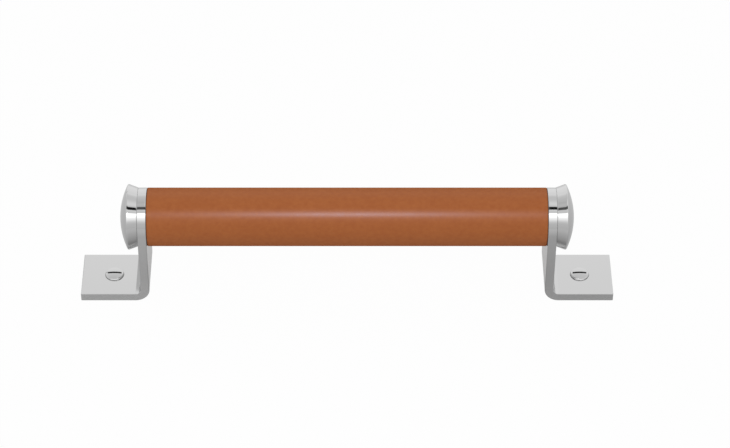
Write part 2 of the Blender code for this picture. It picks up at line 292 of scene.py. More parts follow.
class StageSettings(bpy.types.PropertyGroup):
    """Camera and light."""

    elevation: FloatProperty(
        name="Elevation", description="Camera above the horizon", default=math.radians(42.3), subtype="ANGLE"
    )
    distance: length("Distance", "Camera to the bar's middle", 963.0)
    focal_pixels: number("Focal length", "Focal length in pixels of the photograph", 2820.0)
    even_light: number("Even light", "Strength of the light from all round", 0.78)
    lamp_watts: number("Front lamp", "Power of the small lamp in front", 0.25)
    sheen_watts: number("Sheen lamp", "Power of the lamp that the gloss shows", 0.45)


def linear(hex_colour):
    """Turns an sRGB hex colour such as #A06038 into linear red, green, blue and alpha."""
    parts = [int(hex_colour[i:i + 2], 16) / 255 for i in (1, 3, 5)]
    return tuple(c / 12.92 if c <= 0.04045 else ((c + 0.055) / 1.055) ** 2.4 for c in parts) + (1.0,)


def grid_faces(rows, columns):
    """Corner numbers of the quads between neighbours on a grid."""
    first = np.arange(rows - 1)[:, None] * columns + np.arange(columns - 1)[None, :]
    return np.stack((first, first + 1, first + columns + 1, first + columns), axis=-1).reshape(-1, 4)


def placed(name, data):
    """Puts a new object with this mesh, lamp or camera into the scene."""
    item = bpy.data.objects.new(name, data)
    bpy.context.scene.collection.objects.link(item)
    return item


class Surface:
    """Grids of points gathered into one closed mesh."""

    def __init__(self):
        self.points = []
        self.faces = []
        self.finishes = []
        self.count = 0

    def add(self, grid, finish=0):
        """Adds a grid of points, rows by columns by three, in the piece's finish of this number."""
        rows, columns = grid.shape[:2]
        faces = grid_faces(rows, columns) + self.count
        self.faces.append(faces)
        self.finishes.append(np.full(len(faces), finish, np.int32))
        self.points.append(grid.reshape(-1, 3))
        self.count += rows * columns

    def build(self, name, *materials):
        """Joins seams and poles, turns the faces outwards, and stops if the mesh isn't closed."""
        mesh = bpy.data.meshes.new(name)
        mesh.from_pydata(np.concatenate(self.points).tolist(), [], np.concatenate(self.faces).tolist())
        for material in materials:
            mesh.materials.append(material)
        mesh.polygons.foreach_set("material_index", np.concatenate(self.finishes))
        shape = bmesh.new()
        shape.from_mesh(mesh)
        bmesh.ops.remove_doubles(shape, verts=shape.verts, dist=MERGE_DISTANCE)
        bmesh.ops.recalc_face_normals(shape, faces=shape.faces)
        loose = [edge for edge in shape.edges if not edge.is_manifold]
        volume = shape.calc_volume(signed=True)
        shape.to_mesh(mesh)
        shape.free()
        if loose or volume <= 0:
            raise RuntimeError(f"{name}: {len(loose)} open edges, volume {volume}")
        mesh.shade_smooth()
        mesh.set_sharp_from_angle(angle=SHARP_ANGLE)
        return placed(name, mesh)


def dress(piece, slot, *nodes):
    """Makes a finished piece part of the handle, in place of the plain solids that it covers."""
    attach(piece, "root")
    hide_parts(*nodes)


def line(first, last, steps):
    """Evenly spaced points from one point to another, both included."""
    return np.linspace(first, last, steps + 1)


def directions(angle):
    """The cosine and sine of each angle."""
    return np.stack((np.cos(angle), np.sin(angle)), axis=-1)


def arc(centre, radius, start, end, steps):
    """The centre plus the radius times the cosine and sine of evenly spaced angles."""
    return np.array(centre) + radius * directions(line(start, end, steps))


def rounded(before, corner, after, radius, steps):
    """The arc that touches both lines of a corner, turned evenly from the first line to the second."""
    before, corner, after = (np.array(point, float) for point in (before, corner, after))
    back = (before - corner) / np.linalg.norm(before - corner)
    ahead = (after - corner) / np.linalg.norm(after - corner)
    half = math.acos(float(back @ ahead)) / 2
    centre = corner + (back + ahead) / np.linalg.norm(back + ahead) * radius / math.sin(half)
    first = corner + back * radius / math.tan(half) - centre
    last = corner + ahead * radius / math.tan(half) - centre
    turn = math.pi - 2 * half
    share = np.linspace(0, 1, steps + 1)[:, None]
    return centre + (np.sin((1 - share) * turn) * first + np.sin(share * turn) * last) / math.sin(turn)


def patch(low, high, left, right):
    """Fills between four curves: the mean of both ways across, less the bilinear blend of the corners."""
    u = np.linspace(0, 1, len(low))[None, :, None]
    v = np.linspace(0, 1, len(left))[:, None, None]
    across = (1 - v) * low[None] + v * high[None]
    upwards = (1 - u) * left[:, None] + u * right[:, None]
    corners = (1 - v) * ((1 - u) * low[0] + u * low[-1]) + v * ((1 - u) * high[0] + u * high[-1])
    return across + upwards - corners


def raised(flat, height):
    """Gives flat points their height over the strip's outer face."""
    return np.concatenate((flat, height + 0 * flat[..., :1]), axis=-1)


def swept_edge(outline, outwards, profile):
    """Carries an edge profile of (inset, height) round a flat outline, against its outward directions."""
    return raised(outline[None] - outwards[None] * profile[:, :1, None], profile[:, 1:, None])


def edge_profile(thickness, low_round, high_round):
    """A strip's edge as (inset, height): a quarter arc at each face and a flat land between."""
    low = arc((low_round, low_round), low_round, -QUARTER, -math.pi, EDGE_STEPS)
    high = arc((high_round, thickness - high_round), high_round, math.pi, QUARTER, EDGE_STEPS)
    return np.concatenate((low, line(low[-1], high[0], LAND_STEPS)[1:-1], high))


def place_on_bar(radius, angle, along, side):
    """Points at a radius and an angle about the bar's axis; the left end is turned half round Z."""
    x = side * (along + 0 * radius * angle)
    y = side * radius * np.cos(angle) + 0 * x
    return np.stack((x, y, AXIS_HEIGHT + radius * np.sin(angle) + 0 * x), axis=-1)


def place_on_screw(x, y, height, side):
    """Points given from a foot screw's axis and the foot's top; the left one is turned half round Z."""
    spread = 0 * (x + y + height)
    x, y, z = SCREW_X + x + spread, y + spread, STRIP_THICKNESS + height + spread
    return np.stack((side * x, side * y, z), axis=-1)


def round_screw(profile, angle, side):
    """Turns a profile of (radius, height over the foot's top) about a foot screw's axis."""
    radius = profile[:, 0][:, None]
    return place_on_screw(radius * np.cos(angle), radius * np.sin(angle), profile[:, 1][:, None], side)


def thread(root, crest, pitch, angle, steps):
    """Radius and distance of a thread's points, on rows that follow the helix.

    The distance is the pitch times (row share plus turn share), held between both ends. The
    radius goes from root to crest with a ridge that falls off evenly from the middle of a turn.
    One turn more at the start and two at the end make sure that the rows reach both ends.
    """
    reach = crest[-1][0]
    rows = np.arange(steps * (int(reach / pitch) + 3)) / steps
    gone = np.clip(pitch * (rows[:, None] - 1 + angle[None, :] / (2 * math.pi)), 0, reach)
    ridge = np.clip(RIDGE_OVER_CREST * (1 - 2 * np.abs(rows % 1 - 0.5)), 0, 1)[:, None]
    low = np.interp(gone, *np.transpose(root))
    high = np.interp(gone, *np.transpose(crest))
    return low + (high - low) * ridge, gone


def feed(tree, item, inputs):
    """Gives a node's inputs values or another node's output."""
    for key, value in inputs.items():
        if isinstance(value, bpy.types.NodeSocket):
            tree.links.new(value, item.inputs[key])
        else:
            item.inputs[key].default_value = value


def add_node(tree, kind, inputs=None, **options):
    """Adds a node, sets its options and feeds its inputs."""
    item = tree.nodes.new(kind)
    for name, value in options.items():
        setattr(item, name, value)
    feed(tree, item, inputs or {})
    return item


def graded(tree, value, start=0.0, end=1.0, low=0.0, high=1.0, shape="LINEAR"):
    """Low up to the start, high from the end, and graded between, as a node's output."""
    inputs = {"Value": value, "From Min": start, "From Max": end, "To Min": low, "To Max": high}
    return add_node(tree, "ShaderNodeMapRange", inputs, interpolation_type=shape).outputs[0]


def worked(tree, operation, first, second=0.0):
    """One step of arithmetic, as a node's output."""
    return add_node(tree, "ShaderNodeMath", {0: first, 1: second}, operation=operation).outputs[0]


def blended(tree, share, first, second):
    """A strength between two strengths, as a node's output."""
    parts = {0: share, 2: first, 3: second}
    return add_node(tree, "ShaderNodeMix", parts, data_type="FLOAT").outputs[0]


def blended_colour(tree, share, first, second):
    """A colour between two colours, as a node's output."""
    parts = {0: share, 6: first, 7: second}
    return add_node(tree, "ShaderNodeMix", parts, data_type="RGBA").outputs[2]


def object_place(tree):
    """The point's place in metres, as a node's output."""
    return add_node(tree, "ShaderNodeTexCoord").outputs["Object"]


def noise(tree, place, size, detail, roughness=0.5):
    """Cloudy noise with blots of about this size, as a node's output."""
    inputs = {"Vector": place, "Scale": 1 / size, "Detail": detail, "Roughness": roughness}
    return add_node(tree, "ShaderNodeTexNoise", inputs).outputs["Fac"]


def new_material(name):
    """An empty node material, with its tree and its shader."""
    material = bpy.data.materials.new(name)
    material.use_nodes = True
    return material, material.node_tree, material.node_tree.nodes["Principled BSDF"]


def finished(name):
    """The finish of this name, made by its function the first time that it is asked for."""
    return bpy.data.materials.get(name) or FINISHES[name]()


def bare_metal(tree, shader, hex_colour, roughness):
    """Makes the shader bare metal of this colour."""
    feed(tree, shader, {"Base Color": linear(hex_colour), "Roughness": roughness, "Metallic": 1.0})


def smooth_tan_leather():
    """Drum dyed cowhide with a thin satin finish: soft clouds in the dye, fine pores, a cool highlight."""
    look = bpy.context.scene.pull_handle_leather
    material, tree, shader = new_material("smooth_tan_leather")
    place = object_place(tree)
    clouds = noise(tree, place, look.cloud_size, detail=4.0)
    creases = noise(tree, place, CREASE_SIZE, detail=5.0, roughness=0.6)
    cells = {"Vector": place, "Scale": 1 / look.pore_spacing}
    pores = add_node(tree, "ShaderNodeTexVoronoi", cells, feature="SMOOTH_F1").outputs["Distance"]
    depth = worked(tree, "ADD", clouds, graded(tree, creases, low=-look.mottle, high=look.mottle))
    dye = blended_colour(tree, depth, linear(look.dark_tan), linear(look.tan))
    axes = add_node(tree, "ShaderNodeSeparateXYZ", {"Vector": place}).outputs
    end = SLEEVE_HIGH[0]
    trimmed = graded(tree, worked(tree, "ABSOLUTE", axes["X"]), end - TRIM_WIDTH, end, shape="SMOOTHSTEP")
    relief = {"Height": worked(tree, "ADD", pores, creases), "Strength": 0.12, "Distance": 0.04 * MM}
    facing = add_node(tree, "ShaderNodeLayerWeight", {"Blend": 0.5}).outputs["Facing"]
    satin = graded(tree, creases, low=0.27, high=0.37)
    surface = {
        "Base Color": blended_colour(tree, trimmed, dye, linear(look.cut_edge)),
        "Roughness": blended(tree, graded(tree, facing, *GLOSS_FADE), satin, 1.0),
        "Normal": add_node(tree, "ShaderNodeBump", relief).outputs["Normal"],
        "IOR": 1.33,
        "Specular Tint": linear("#DCE7FF"),
    }
    feed(tree, shader, surface)
    return material


def chrome_plate():
    """Bright chromium plate over polished metal: a grey mirror, slightly hazy from the buffing wheel."""
    look = bpy.context.scene.pull_handle_metal
    material, tree, shader = new_material("chrome_plate")
    film = noise(tree, object_place(tree), FILM_SIZE, detail=3.0)
    bare_metal(tree, shader, look.chrome, graded(tree, film, low=0.02, high=0.06))
    return material


def turned_aluminium():
    """Bare bar stock: rings left by the lathe tool, drawn 0.4 mm apart so that they show."""
    look = bpy.context.scene.pull_handle_metal
    material, tree, shader = new_material("turned_aluminium")
    wave = {"Vector": object_place(tree), "Scale": 2 * math.pi / (WAVE_TURN * LATHE_FEED), "Distortion": 0.3}
    rings = add_node(tree, "ShaderNodeTexWave", wave, bands_direction="X").outputs["Fac"]
    relief = {"Height": rings, "Strength": 0.2, "Distance": 0.02 * MM}
    bare_metal(tree, shader, look.aluminium, graded(tree, rings, low=0.28, high=0.42))
    feed(tree, shader, {"Normal": add_node(tree, "ShaderNodeBump", relief).outputs["Normal"]})
    return material


def zinc_plate():
    """Zinc plated steel: dull, with the small patches that the bath leaves."""
    look = bpy.context.scene.pull_handle_metal
    material, tree, shader = new_material("zinc_plate")
    cells = {"Vector": object_place(tree), "Scale": 1 / PATCH_SIZE}
    patches = add_node(tree, "ShaderNodeTexVoronoi", cells).outputs["Distance"]
    bare_metal(tree, shader, look.zinc, graded(tree, patches, low=0.35, high=0.5))
    return material


def slot_painted_shade():
    """Inside of a screw's slot: sawn and never buffed, and painted dark for the shade that falls in it, in
    two dark tones mottled at random.
    """
    look = bpy.context.scene.pull_handle_screws
    material, tree, shader = new_material("slot_painted_shade")
    shade_mottle = noise(tree, object_place(tree), SLOT_SHADE_MOTTLE_SIZE, detail=3.0)
    colours = blended_colour(tree, shade_mottle, linear(look.slot_shade_dark), linear(look.slot_shade_light))
    feed(tree, shader, {"Base Color": colours, "Roughness": 0.6})
    return material


FINISHES = {
    "smooth_tan_leather": smooth_tan_leather,
    "chrome_plate": chrome_plate,
    "turned_aluminium": turned_aluminium,
    "zinc_plate": zinc_plate,
    "slot_painted_shade": slot_painted_shade,
}


def rolled(flat):
    """Rolls the strip round the bar: across becomes an angle from the top, height adds to the radius."""
    angle = QUARTER + flat[..., 1] / GRIP_RADIUS
    return place_on_bar(BAR_RADIUS + GLUE_LINE + flat[..., 2], angle, flat[..., 0], 1.0)


def rectangle_sides(half_length, half_width, corner, steps):
    """A rounded rectangle's four sides with their outward directions, each between two corners' middles."""
    centre = np.array((half_length - corner, half_width - corner))
    ends = centre * np.array(((1, -1), (1, 1), (-1, 1), (-1, -1), (1, -1)))
    sides = []
    for turn in range(4):
        middle = turn * QUARTER
        first = line(middle - QUARTER / 2, middle, HALF_CORNER_STEPS)
        straight = np.full(steps[turn % 2] - 1, middle)
        last = line(middle, middle + QUARTER / 2, HALF_CORNER_STEPS)
        away = directions(np.concatenate((first, straight, last)))
        before = np.tile(ends[turn], (len(first), 1))
        after = np.tile(ends[turn + 1], (len(last), 1))
        between = line(ends[turn], ends[turn + 1], steps[turn % 2])[1:-1]
        sides.append((np.concatenate((before, between, after)) + corner * away, away))
    return sides


def leather_grip():
    """One strip of leather, laid out flat and then rolled round the bar, its long edges facing the door.

    The edge profile is carried round the strip's outline. The two faces are filled between its sides.
    """
    look = bpy.context.scene.pull_handle_leather
    thickness = GRIP_RADIUS - BAR_RADIUS - GLUE_LINE
    half_width = math.pi * GRIP_RADIUS - look.seam_gap / 2
    corner = look.end_round + LEATHER_CORNER_EXTRA
    sides = rectangle_sides(SLEEVE_HIGH[0], half_width, corner, LEATHER_STEPS)
    profile = edge_profile(thickness, LEATHER_INNER_ROUND, look.end_round)
    edges = [swept_edge(points, away, profile) for points, away in sides]
    surface = Surface()
    for edge in edges:
        surface.add(rolled(edge))
    for row in (0, -1):
        right, high, left, low = (edge[row] for edge in edges)
        surface.add(rolled(patch(low, high[::-1], left[::-1], right)))
    return surface.build("grip_leather", finished("smooth_tan_leather"))


def bent(flat, side):
    """Bends the flat foot strip a quarter turn: along from the foot's end, across, and height."""
    along, across, up = flat[..., 0], flat[..., 1], flat[..., 2]
    turn = np.clip((along - FOOT_FLAT) / (ARM_START - FOOT_FLAT), 0, 1) * QUARTER
    radius = BEND_OUTER_RADIUS - up
    x = STRIP_LOW[0] + BEND_OUTER_RADIUS - radius * np.sin(turn) + np.clip(FOOT_FLAT - along, 0, None)
    z = BEND_OUTER_RADIUS - radius * np.cos(turn) + np.clip(along - ARM_START, 0, None)
    return np.stack((side * x, side * across, z), axis=-1)


def half_strip_outline(corner):
    """One long side of the flat strip with its directions: foot end, corner, edge, half the round top."""
    width = STRIP_HALF_WIDTH
    end = line((0.0, 0.0), (0.0, corner - width), FOOT_END_STEPS)[:-1]
    corner_away = directions(line(-math.pi, -QUARTER, EDGE_STEPS))
    foot = line(corner, FOOT_FLAT, FOOT_STEPS)[1:]
    bend = line(FOOT_FLAT, ARM_START, BEND_STEPS)[1:]
    arm = line(ARM_START, ARM_CENTRE, FOOT_STEPS)[1:-1]
    along = np.concatenate((foot, bend, arm))
    edge = np.stack((along, np.full_like(along, -width)), axis=-1)
    top_away = directions(line(-QUARTER, 0, TOP_STEPS))
    corner_centre = np.array((corner, corner - width))
    top_centre = np.array((ARM_CENTRE, 0.0))
    points = (end, corner_centre + corner * corner_away, edge, top_centre + width * top_away)
    away = (np.tile((-1.0, 0.0), (len(end), 1)), corner_away, np.tile((0.0, -1.0), (len(edge), 1)), top_away)
    return np.concatenate(points), np.concatenate(away)


def face_with_hole(surface, loop, centre, radius, height, side):
    """Rings on the straight lines from a face's border to the hole's rim, close together at both."""
    away = loop - centre
    rim = centre + away / np.linalg.norm(away, axis=1, keepdims=True) * radius
    share = np.array(RING_SHARES)[:, None, None]
    surface.add(bent(raised(loop[None] * (1 - share) + rim[None] * share, height), side))


def hole_wall(surface, loop, centre, profile, side):
    """Carries a hole's profile of (radius, height) round its centre, on the face's own lines."""
    away = loop - centre
    away = away / np.linalg.norm(away, axis=1, keepdims=True)
    surface.add(bent(raised(centre + away[None] * profile[:, :1, None], profile[:, 1:, None]), side))


def countersink_profile():
    """From the foot's top down: a small rounded lip, a 45 degree cone and a plain hole."""
    top = STRIP_THICKNESS
    throat = (SCREW_HOLE_RADIUS, top - (SINK_RADIUS - SCREW_HOLE_RADIUS))
    lip = rounded((SINK_RADIUS + MM, top), (SINK_RADIUS, top), throat, SINK_LIP_ROUND, LIP_STEPS)
    return np.concatenate((lip, line(lip[-1], throat, CONE_STEPS)[1:], ((SCREW_HOLE_RADIUS, 0.0),)))


def bracket(side_name, side):
    """A foot and its arm: edge, faces and holes laid out on the flat strip, then bent into shape."""
    look = bpy.context.scene.pull_handle_metal
    surface = Surface()
    half, half_away = half_strip_outline(look.strip_corner)
    outline = np.concatenate((half, (half * (1, -1))[::-1]))
    away = np.concatenate((half_away, (half_away * (1, -1))[::-1]))
    profile = edge_profile(STRIP_THICKNESS, look.strip_edge, look.strip_edge)
    surface.add(bent(swept_edge(outline, away, profile), side))

    inset = outline - away * look.strip_edge
    width = STRIP_HALF_WIDTH - look.strip_edge
    level = np.concatenate(((-width,), line(-OUTER_ROW, OUTER_ROW, ACROSS_STEPS) * width, (width,)))
    first_half = np.arange(len(outline)) < len(half)
    in_foot = inset[:, 0] < FOOT_FLAT - MERGE_DISTANCE
    in_arm = inset[:, 0] > ARM_START + MERGE_DISTANCE
    foot_line = np.stack((np.full_like(level, FOOT_FLAT), level), axis=-1)
    arm_line = np.stack((np.full_like(level, ARM_START), level), axis=-1)
    foot = np.concatenate((inset[in_foot & first_half], foot_line, inset[in_foot & ~first_half]))
    arm = np.concatenate((inset[in_arm], arm_line[::-1], inset[in_arm][:1]))
    screw_centre = np.array((SCREW_ALONG, 0.0))
    stud_centre = np.array((ARM_CENTRE, 0.0))
    bore = np.array(((STUD_BORE, STRIP_THICKNESS), (STUD_BORE, 0.0)))
    for loop, centre, hole in ((foot, screw_centre, countersink_profile()), (arm, stud_centre, bore)):
        hole_wall(surface, loop, centre, hole, side)
        for radius, height in (hole[0], hole[-1]):
            face_with_hole(surface, loop, centre, radius, height, side)

    bend_along = line(FOOT_FLAT, ARM_START, BEND_STEPS)
    bend = np.stack(np.meshgrid(bend_along, level, indexing="ij"), axis=-1)
    for height in (0.0, STRIP_THICKNESS):
        surface.add(bent(raised(bend, height), side))
    return surface.build(f"{side_name}_bracket_polished", finished("chrome_plate"))


def cap_profile(look):
    """Outline of a cap as (radius, distance along X), from the dome's top to the bottom of its bore.

    The dome is an arc through its top and its rim, the flare a straight line from rim to base.
    """
    start = CAP_LOW[0]
    rise = CAP_HIGH[0] - start - CAP_FLARE_LENGTH
    rim_radius = CAP_HIGH[1] + RIM_CORNER_SHARE * look.cap_rim
    sphere = (rim_radius ** 2 + rise ** 2) / (2 * rise)
    spread = math.asin(rim_radius / sphere)
    dome = arc((0.0, CAP_HIGH[0] - sphere), sphere, QUARTER, QUARTER - spread, CAP_DOME_STEPS)
    corner = (CAP_BASE_RADIUS, start)
    rim = rounded(dome[-2], dome[-1], corner, look.cap_rim, CAP_RIM_STEPS)
    base = rounded(dome[-1], corner, (STUD_BORE, start), look.cap_base, EDGE_STEPS)
    floor = STUD_HIGH[0] + BORE_RUN_OUT
    bore = np.array(((STUD_BORE, start), (STUD_BORE, floor), (0.0, floor)))
    dome = dome[dome[:, 0] < rim[0][0] - DOME_TO_RIM_GAP]
    return np.concatenate((dome, rim, line(rim[-1], base[0], CAP_FLARE_STEPS)[1:-1], base, bore))


def end_cap(side_name, side):
    """A turned cap: its profile carried once round the bar's axis."""
    profile = cap_profile(bpy.context.scene.pull_handle_metal)
    angle = line(0, 2 * math.pi, CAP_TURN_STEPS)[None, :]
    surface = Surface()
    surface.add(place_on_bar(profile[:, :1], angle, profile[:, 1:], side))
    return surface.build(f"{side_name}_cap_polished", finished("chrome_plate"))


def head_profile(look):
    """A countersunk head's outline as (radius, height): dome from the slot's wall, rounded rim, cone."""
    corner = HEAD_RADIUS + HEAD_SPREAD + HEAD_CORNER_SHARE * look.head_edge
    edge_height = HEAD_TOP - look.head_rise
    sphere = (corner ** 2 + look.head_rise ** 2) / (2 * look.head_rise)
    wall_angle = math.asin(look.slot_width / 2 / sphere)
    end_angle = math.asin(corner / sphere)
    dome = arc((0.0, HEAD_TOP - sphere), sphere, QUARTER - wall_angle, QUARTER - end_angle, HEAD_DOME_STEPS)
    neck = (SHANK_RADIUS, edge_height - (corner - SHANK_RADIUS))
    rim = rounded(dome[-2], dome[-1], neck, look.head_edge, HEAD_RIM_STEPS)
    dome = dome[dome[:, 0] < rim[0][0] - DOME_TO_RIM_GAP]
    return np.concatenate((dome, rim, (neck,)))


def foot_screw(side_name, side):
    """A raised countersunk wood screw; its slot, along X, is cut by a small round saw and ends in the dome.

    Each half of the head is the profile turned through the angles that leave the slot's width free,
    from the arc sine of the half width over the radius. Past the slot's ends a strip of the same
    profile joins the halves. The floor rises with the fourth power of the distance from the middle,
    and a wall is ruled between the floor's edge and the line where it meets the dome.
    """
    look = bpy.context.scene.pull_handle_screws
    wall = look.slot_width / 2
    profile = head_profile(look)
    surface = Surface()
    start = np.arcsin(np.clip(wall / profile[:, 0], -1, 1))[:, None]
    lobe = start + (math.pi - 2 * start) * line(0, 1, HALF_TURN_STEPS)[None, :]
    for half_turn in (0.0, math.pi):
        surface.add(round_screw(profile, lobe + half_turn, side))

    last = int(np.argmax(profile[:, 0] > look.slot_length / 2)) - 1
    radius, height = profile[:last + 1].T
    y = line(-wall, wall, SLOT_STEPS)[None, :]
    for way in (-1, 1):
        x = way * np.sqrt(profile[last:, :1] ** 2 - y ** 2)
        surface.add(place_on_screw(x, y, profile[last:, 1:], side))
    along = np.sqrt(np.clip(radius ** 2 - wall ** 2, 0, None))
    along = np.concatenate((-along[::-1], along[1:]))
    dome_line = np.concatenate((height[::-1], height[1:]))
    share = along / along[-1]
    middle = HEAD_TOP - look.slot_depth
    floor = middle + (height[-1] - middle) * share ** 4
    v = line(0, 1, SLOT_WALL_STEPS)[:, None]
    for way in (-1, 1):
        # The slot's walls take finish 1, the slot's painted shade; the floor keeps the chrome plate
        surface.add(place_on_screw(along, way * wall, floor + (dome_line - floor) * v, side), 1)
    reach = np.sqrt(radius[-1] ** 2 - y ** 2)
    surface.add(place_on_screw(share[:, None] * reach, y, floor[:, None], side))

    gap = np.arcsin(line(0, wall, SLOT_STEPS // 2) / SHANK_RADIUS)
    between = line(gap[-1], math.pi - gap[-1], HALF_TURN_STEPS)[1:-1]
    half_round = np.concatenate((gap, between, math.pi - gap[::-1]))
    angle = np.concatenate((half_round, half_round[1:] + math.pi))
    plain_end = -STRIP_THICKNESS
    shaft = np.array((profile[-1], (SHANK_RADIUS, plain_end)))
    surface.add(round_screw(shaft, angle[None, :], side))
    run = plain_end - SCREW_TIP
    core = CORE_OVER_SHANK * SHANK_RADIUS
    root = ((0.0, SHANK_RADIUS), (look.wood_pitch / 2, core), (run - SCREW_POINT, core), (run, TIP_RADIUS))
    crest = ((0.0, SHANK_RADIUS), (run - SCREW_POINT, SHANK_RADIUS), (run, TIP_RADIUS))
    r, gone = thread(root, crest, look.wood_pitch, angle, WOOD_THREAD_STEPS)
    surface.add(place_on_screw(r * np.cos(angle), -r * np.sin(angle), plain_end - gone, side))
    tip = np.array(((TIP_RADIUS, SCREW_TIP), (0.0, SCREW_TIP)))
    surface.add(round_screw(tip, angle[None, :], side))
    return surface.build(f"{side_name}_screw_slotted", finished("chrome_plate"), finished("slot_painted_shade"))


def tie_stud(side_name, side):
    """A headless screw with a hexagon socket, threaded all along.

    The socket's radius is half its width over the cosine of the angle from the nearest flat's middle.
    """
    look = bpy.context.scene.pull_handle_screws
    angle = -line(0, 2 * math.pi, STUD_TURN_STEPS)
    hexagon = look.socket_width / 2 / np.cos(angle % (math.pi / 3) - math.pi / 6)
    run = STUD_HIGH[0] - STUD_LOW[0]
    chamfer = STUD_CHAMFER
    end = STUD_RADIUS - chamfer
    core = STUD_RADIUS - STUD_THREAD_DEPTH * look.stud_pitch
    root = ((0.0, end), (chamfer, core), (run - chamfer, core), (run, end))
    crest = ((0.0, end), (chamfer, STUD_RADIUS), (run - chamfer, STUD_RADIUS), (run, end))
    radius, depth = thread(root, crest, look.stud_pitch, -angle, STUD_THREAD_STEPS)
    flat = np.ones((1, len(angle)))
    socket_radius = np.concatenate((0 * flat, hexagon * flat, hexagon * flat, end * flat))
    socket_depth = np.array((look.socket_depth, look.socket_depth, 0.0, 0.0))[:, None]
    base_radius = np.concatenate((end * flat, 0 * flat))
    surface = Surface()
    for r, d in ((socket_radius, socket_depth), (radius, depth), (base_radius, run)):
        surface.add(place_on_bar(r, angle[None, :], STUD_HIGH[0] - d, side))
    return surface.build(f"{side_name}_stud_threaded", finished("zinc_plate"))


def seen_as_background(tree):
    """One where a ray comes from the camera, from metal or through glass, else nought."""
    path = add_node(tree, "ShaderNodeLightPath").outputs
    first = worked(tree, "MAXIMUM", path["Is Camera Ray"], path["Is Glossy Ray"])
    return worked(tree, "MAXIMUM", first, path["Is Transmission Ray"])


def show(tree, output, item):
    """Links a node to the tree's output."""
    tree.links.new(item.outputs[0], tree.nodes[output].inputs["Surface"])


def show_mixed(tree, output, share, first, second):
    """Links two nodes, mixed by a share, to the tree's output."""
    parts = {0: share, 1: first.outputs[0], 2: second.outputs[0]}
    show(tree, output, add_node(tree, "ShaderNodeMixShader", parts))


def shine(material, tree, shader, strength):
    """Makes a material shine with this strength; nothing aims rays at it as it would at a lamp."""
    tree.nodes.remove(shader)
    show(tree, "Material Output", add_node(tree, "ShaderNodeEmission", {"Strength": strength}))
    material.cycles.emission_sampling = "NONE"


def white_board():
    """Matt white board: it shows as white, with a little of its own shading kept for the handle's shadow."""
    material, tree, shader = new_material("white_board")
    feed(tree, shader, {"Base Color": linear("#D8D8D8"), "Roughness": 0.9, "Specular IOR Level": 0.0})
    share = worked(tree, "MULTIPLY", seen_as_background(tree), BOARD_GLOW)
    glow = add_node(tree, "ShaderNodeEmission", {"Color": WHITE, "Strength": 1.0})
    show_mixed(tree, "Material Output", share, shader, glow)
    return material


def banded(tree, value, bands):
    """Strength graded evenly between bands of (place, strength), as a node's output."""
    low, high = bands[0][0], bands[-1][0]
    ramp = add_node(tree, "ShaderNodeValToRGB", {0: graded(tree, value, low, high)})
    stops = ramp.color_ramp.elements
    stops.remove(stops[1])
    top = max(strength for _, strength in bands)
    for i, (position, strength) in enumerate(bands):
        stop = stops[0] if i == 0 else stops.new((position - low) / (high - low))
        stop.color = (strength / top, strength / top, strength / top, 1.0)
    return worked(tree, "MULTIPLY", ramp.outputs[0], top)


def tent_cloth():
    """Lit cloth of the tent, in bands by the angle over the bar: 0 in front, 90 overhead, 180 behind.

    The two ends are plain cloth that grows paler upwards, because the bands would meet there in a point.
    """
    material, tree, shader = new_material("tent_cloth")
    axes = add_node(tree, "ShaderNodeSeparateXYZ", {"Vector": object_place(tree)}).outputs
    front = worked(tree, "MULTIPLY", axes["Y"], -1.0)
    angle = worked(tree, "DEGREES", worked(tree, "ARCTAN2", axes["Z"], front))
    right = graded(tree, axes["X"], -TENT_BLEND, TENT_BLEND, shape="SMOOTHSTEP")
    cloth = blended(tree, right, banded(tree, angle, LEFT_TENT), banded(tree, angle, RIGHT_TENT))
    at_end = graded(tree, worked(tree, "ABSOLUTE", axes["X"]), *TENT_END, shape="SMOOTHSTEP")
    end_cloth = graded(tree, axes["Z"], 0.0, TENT_END_RISE, *TENT_END_GLOW)
    shine(material, tree, shader, blended(tree, at_end, cloth, end_cloth))
    return material


def table_top():
    """Table top as the gloss mirrors it, a painted reflection with the handle's shadow painted in: graded
    from front to back near the handle, plain far to its sides.

    Bands that ran on to the horizon would meet there in a point, and make the caps' domes look like cones.
    """
    material, tree, shader = new_material("table_top")
    axes = add_node(tree, "ShaderNodeSeparateXYZ", {"Vector": object_place(tree)}).outputs
    from_middle = worked(tree, "ABSOLUTE", axes["X"])
    all_bands = (BETWEEN_FEET_SHADE, LEFT_SHADE, RIGHT_SHADE, BACK_OF_TABLE)
    strength, left, right, beyond = (banded(tree, axes["Y"], bands) for bands in all_bands)
    beside = blended(tree, graded(tree, axes["X"], -TABLE_BLEND, TABLE_BLEND), left, right)
    plain = BACK_OF_TABLE[0][1]
    for edges, outer in ((FOOT_EDGE, beside), (FOOT_FADE, beyond), (TABLE_FADE, plain)):
        share = graded(tree, from_middle, *edges, shape="SMOOTHSTEP")
        strength = blended(tree, share, strength, outer)
    surface = {
        "Base Color": worked(tree, "MULTIPLY", strength, TABLE_PAINT),
        "Emission Strength": worked(tree, "MULTIPLY", strength, TABLE_GLOW),
        "Emission Color": WHITE,
        "Roughness": 1.0,
        "Specular IOR Level": 0.0,
    }
    feed(tree, shader, surface)
    material.cycles.emission_sampling = "NONE"
    return material


def grey_arch_glow():
    """Mid grey arch behind the left foot that glows and that only the gloss sees: a painted reflection that
    the foot's bend mirrors, showing where the bend starts.
    """
    material, tree, shader = new_material("grey_arch_glow")
    fibres = noise(tree, object_place(tree), FIBRE_SIZE, detail=2.0)
    shine(material, tree, shader, graded(tree, fibres, low=0.52, high=0.60))
    return material


def reflected_only(item):
    """Shows a stage piece in the handle's gloss and nowhere else."""
    item.visible_camera = False
    item.visible_diffuse = False
    item.visible_shadow = False
    item.visible_transmission = False


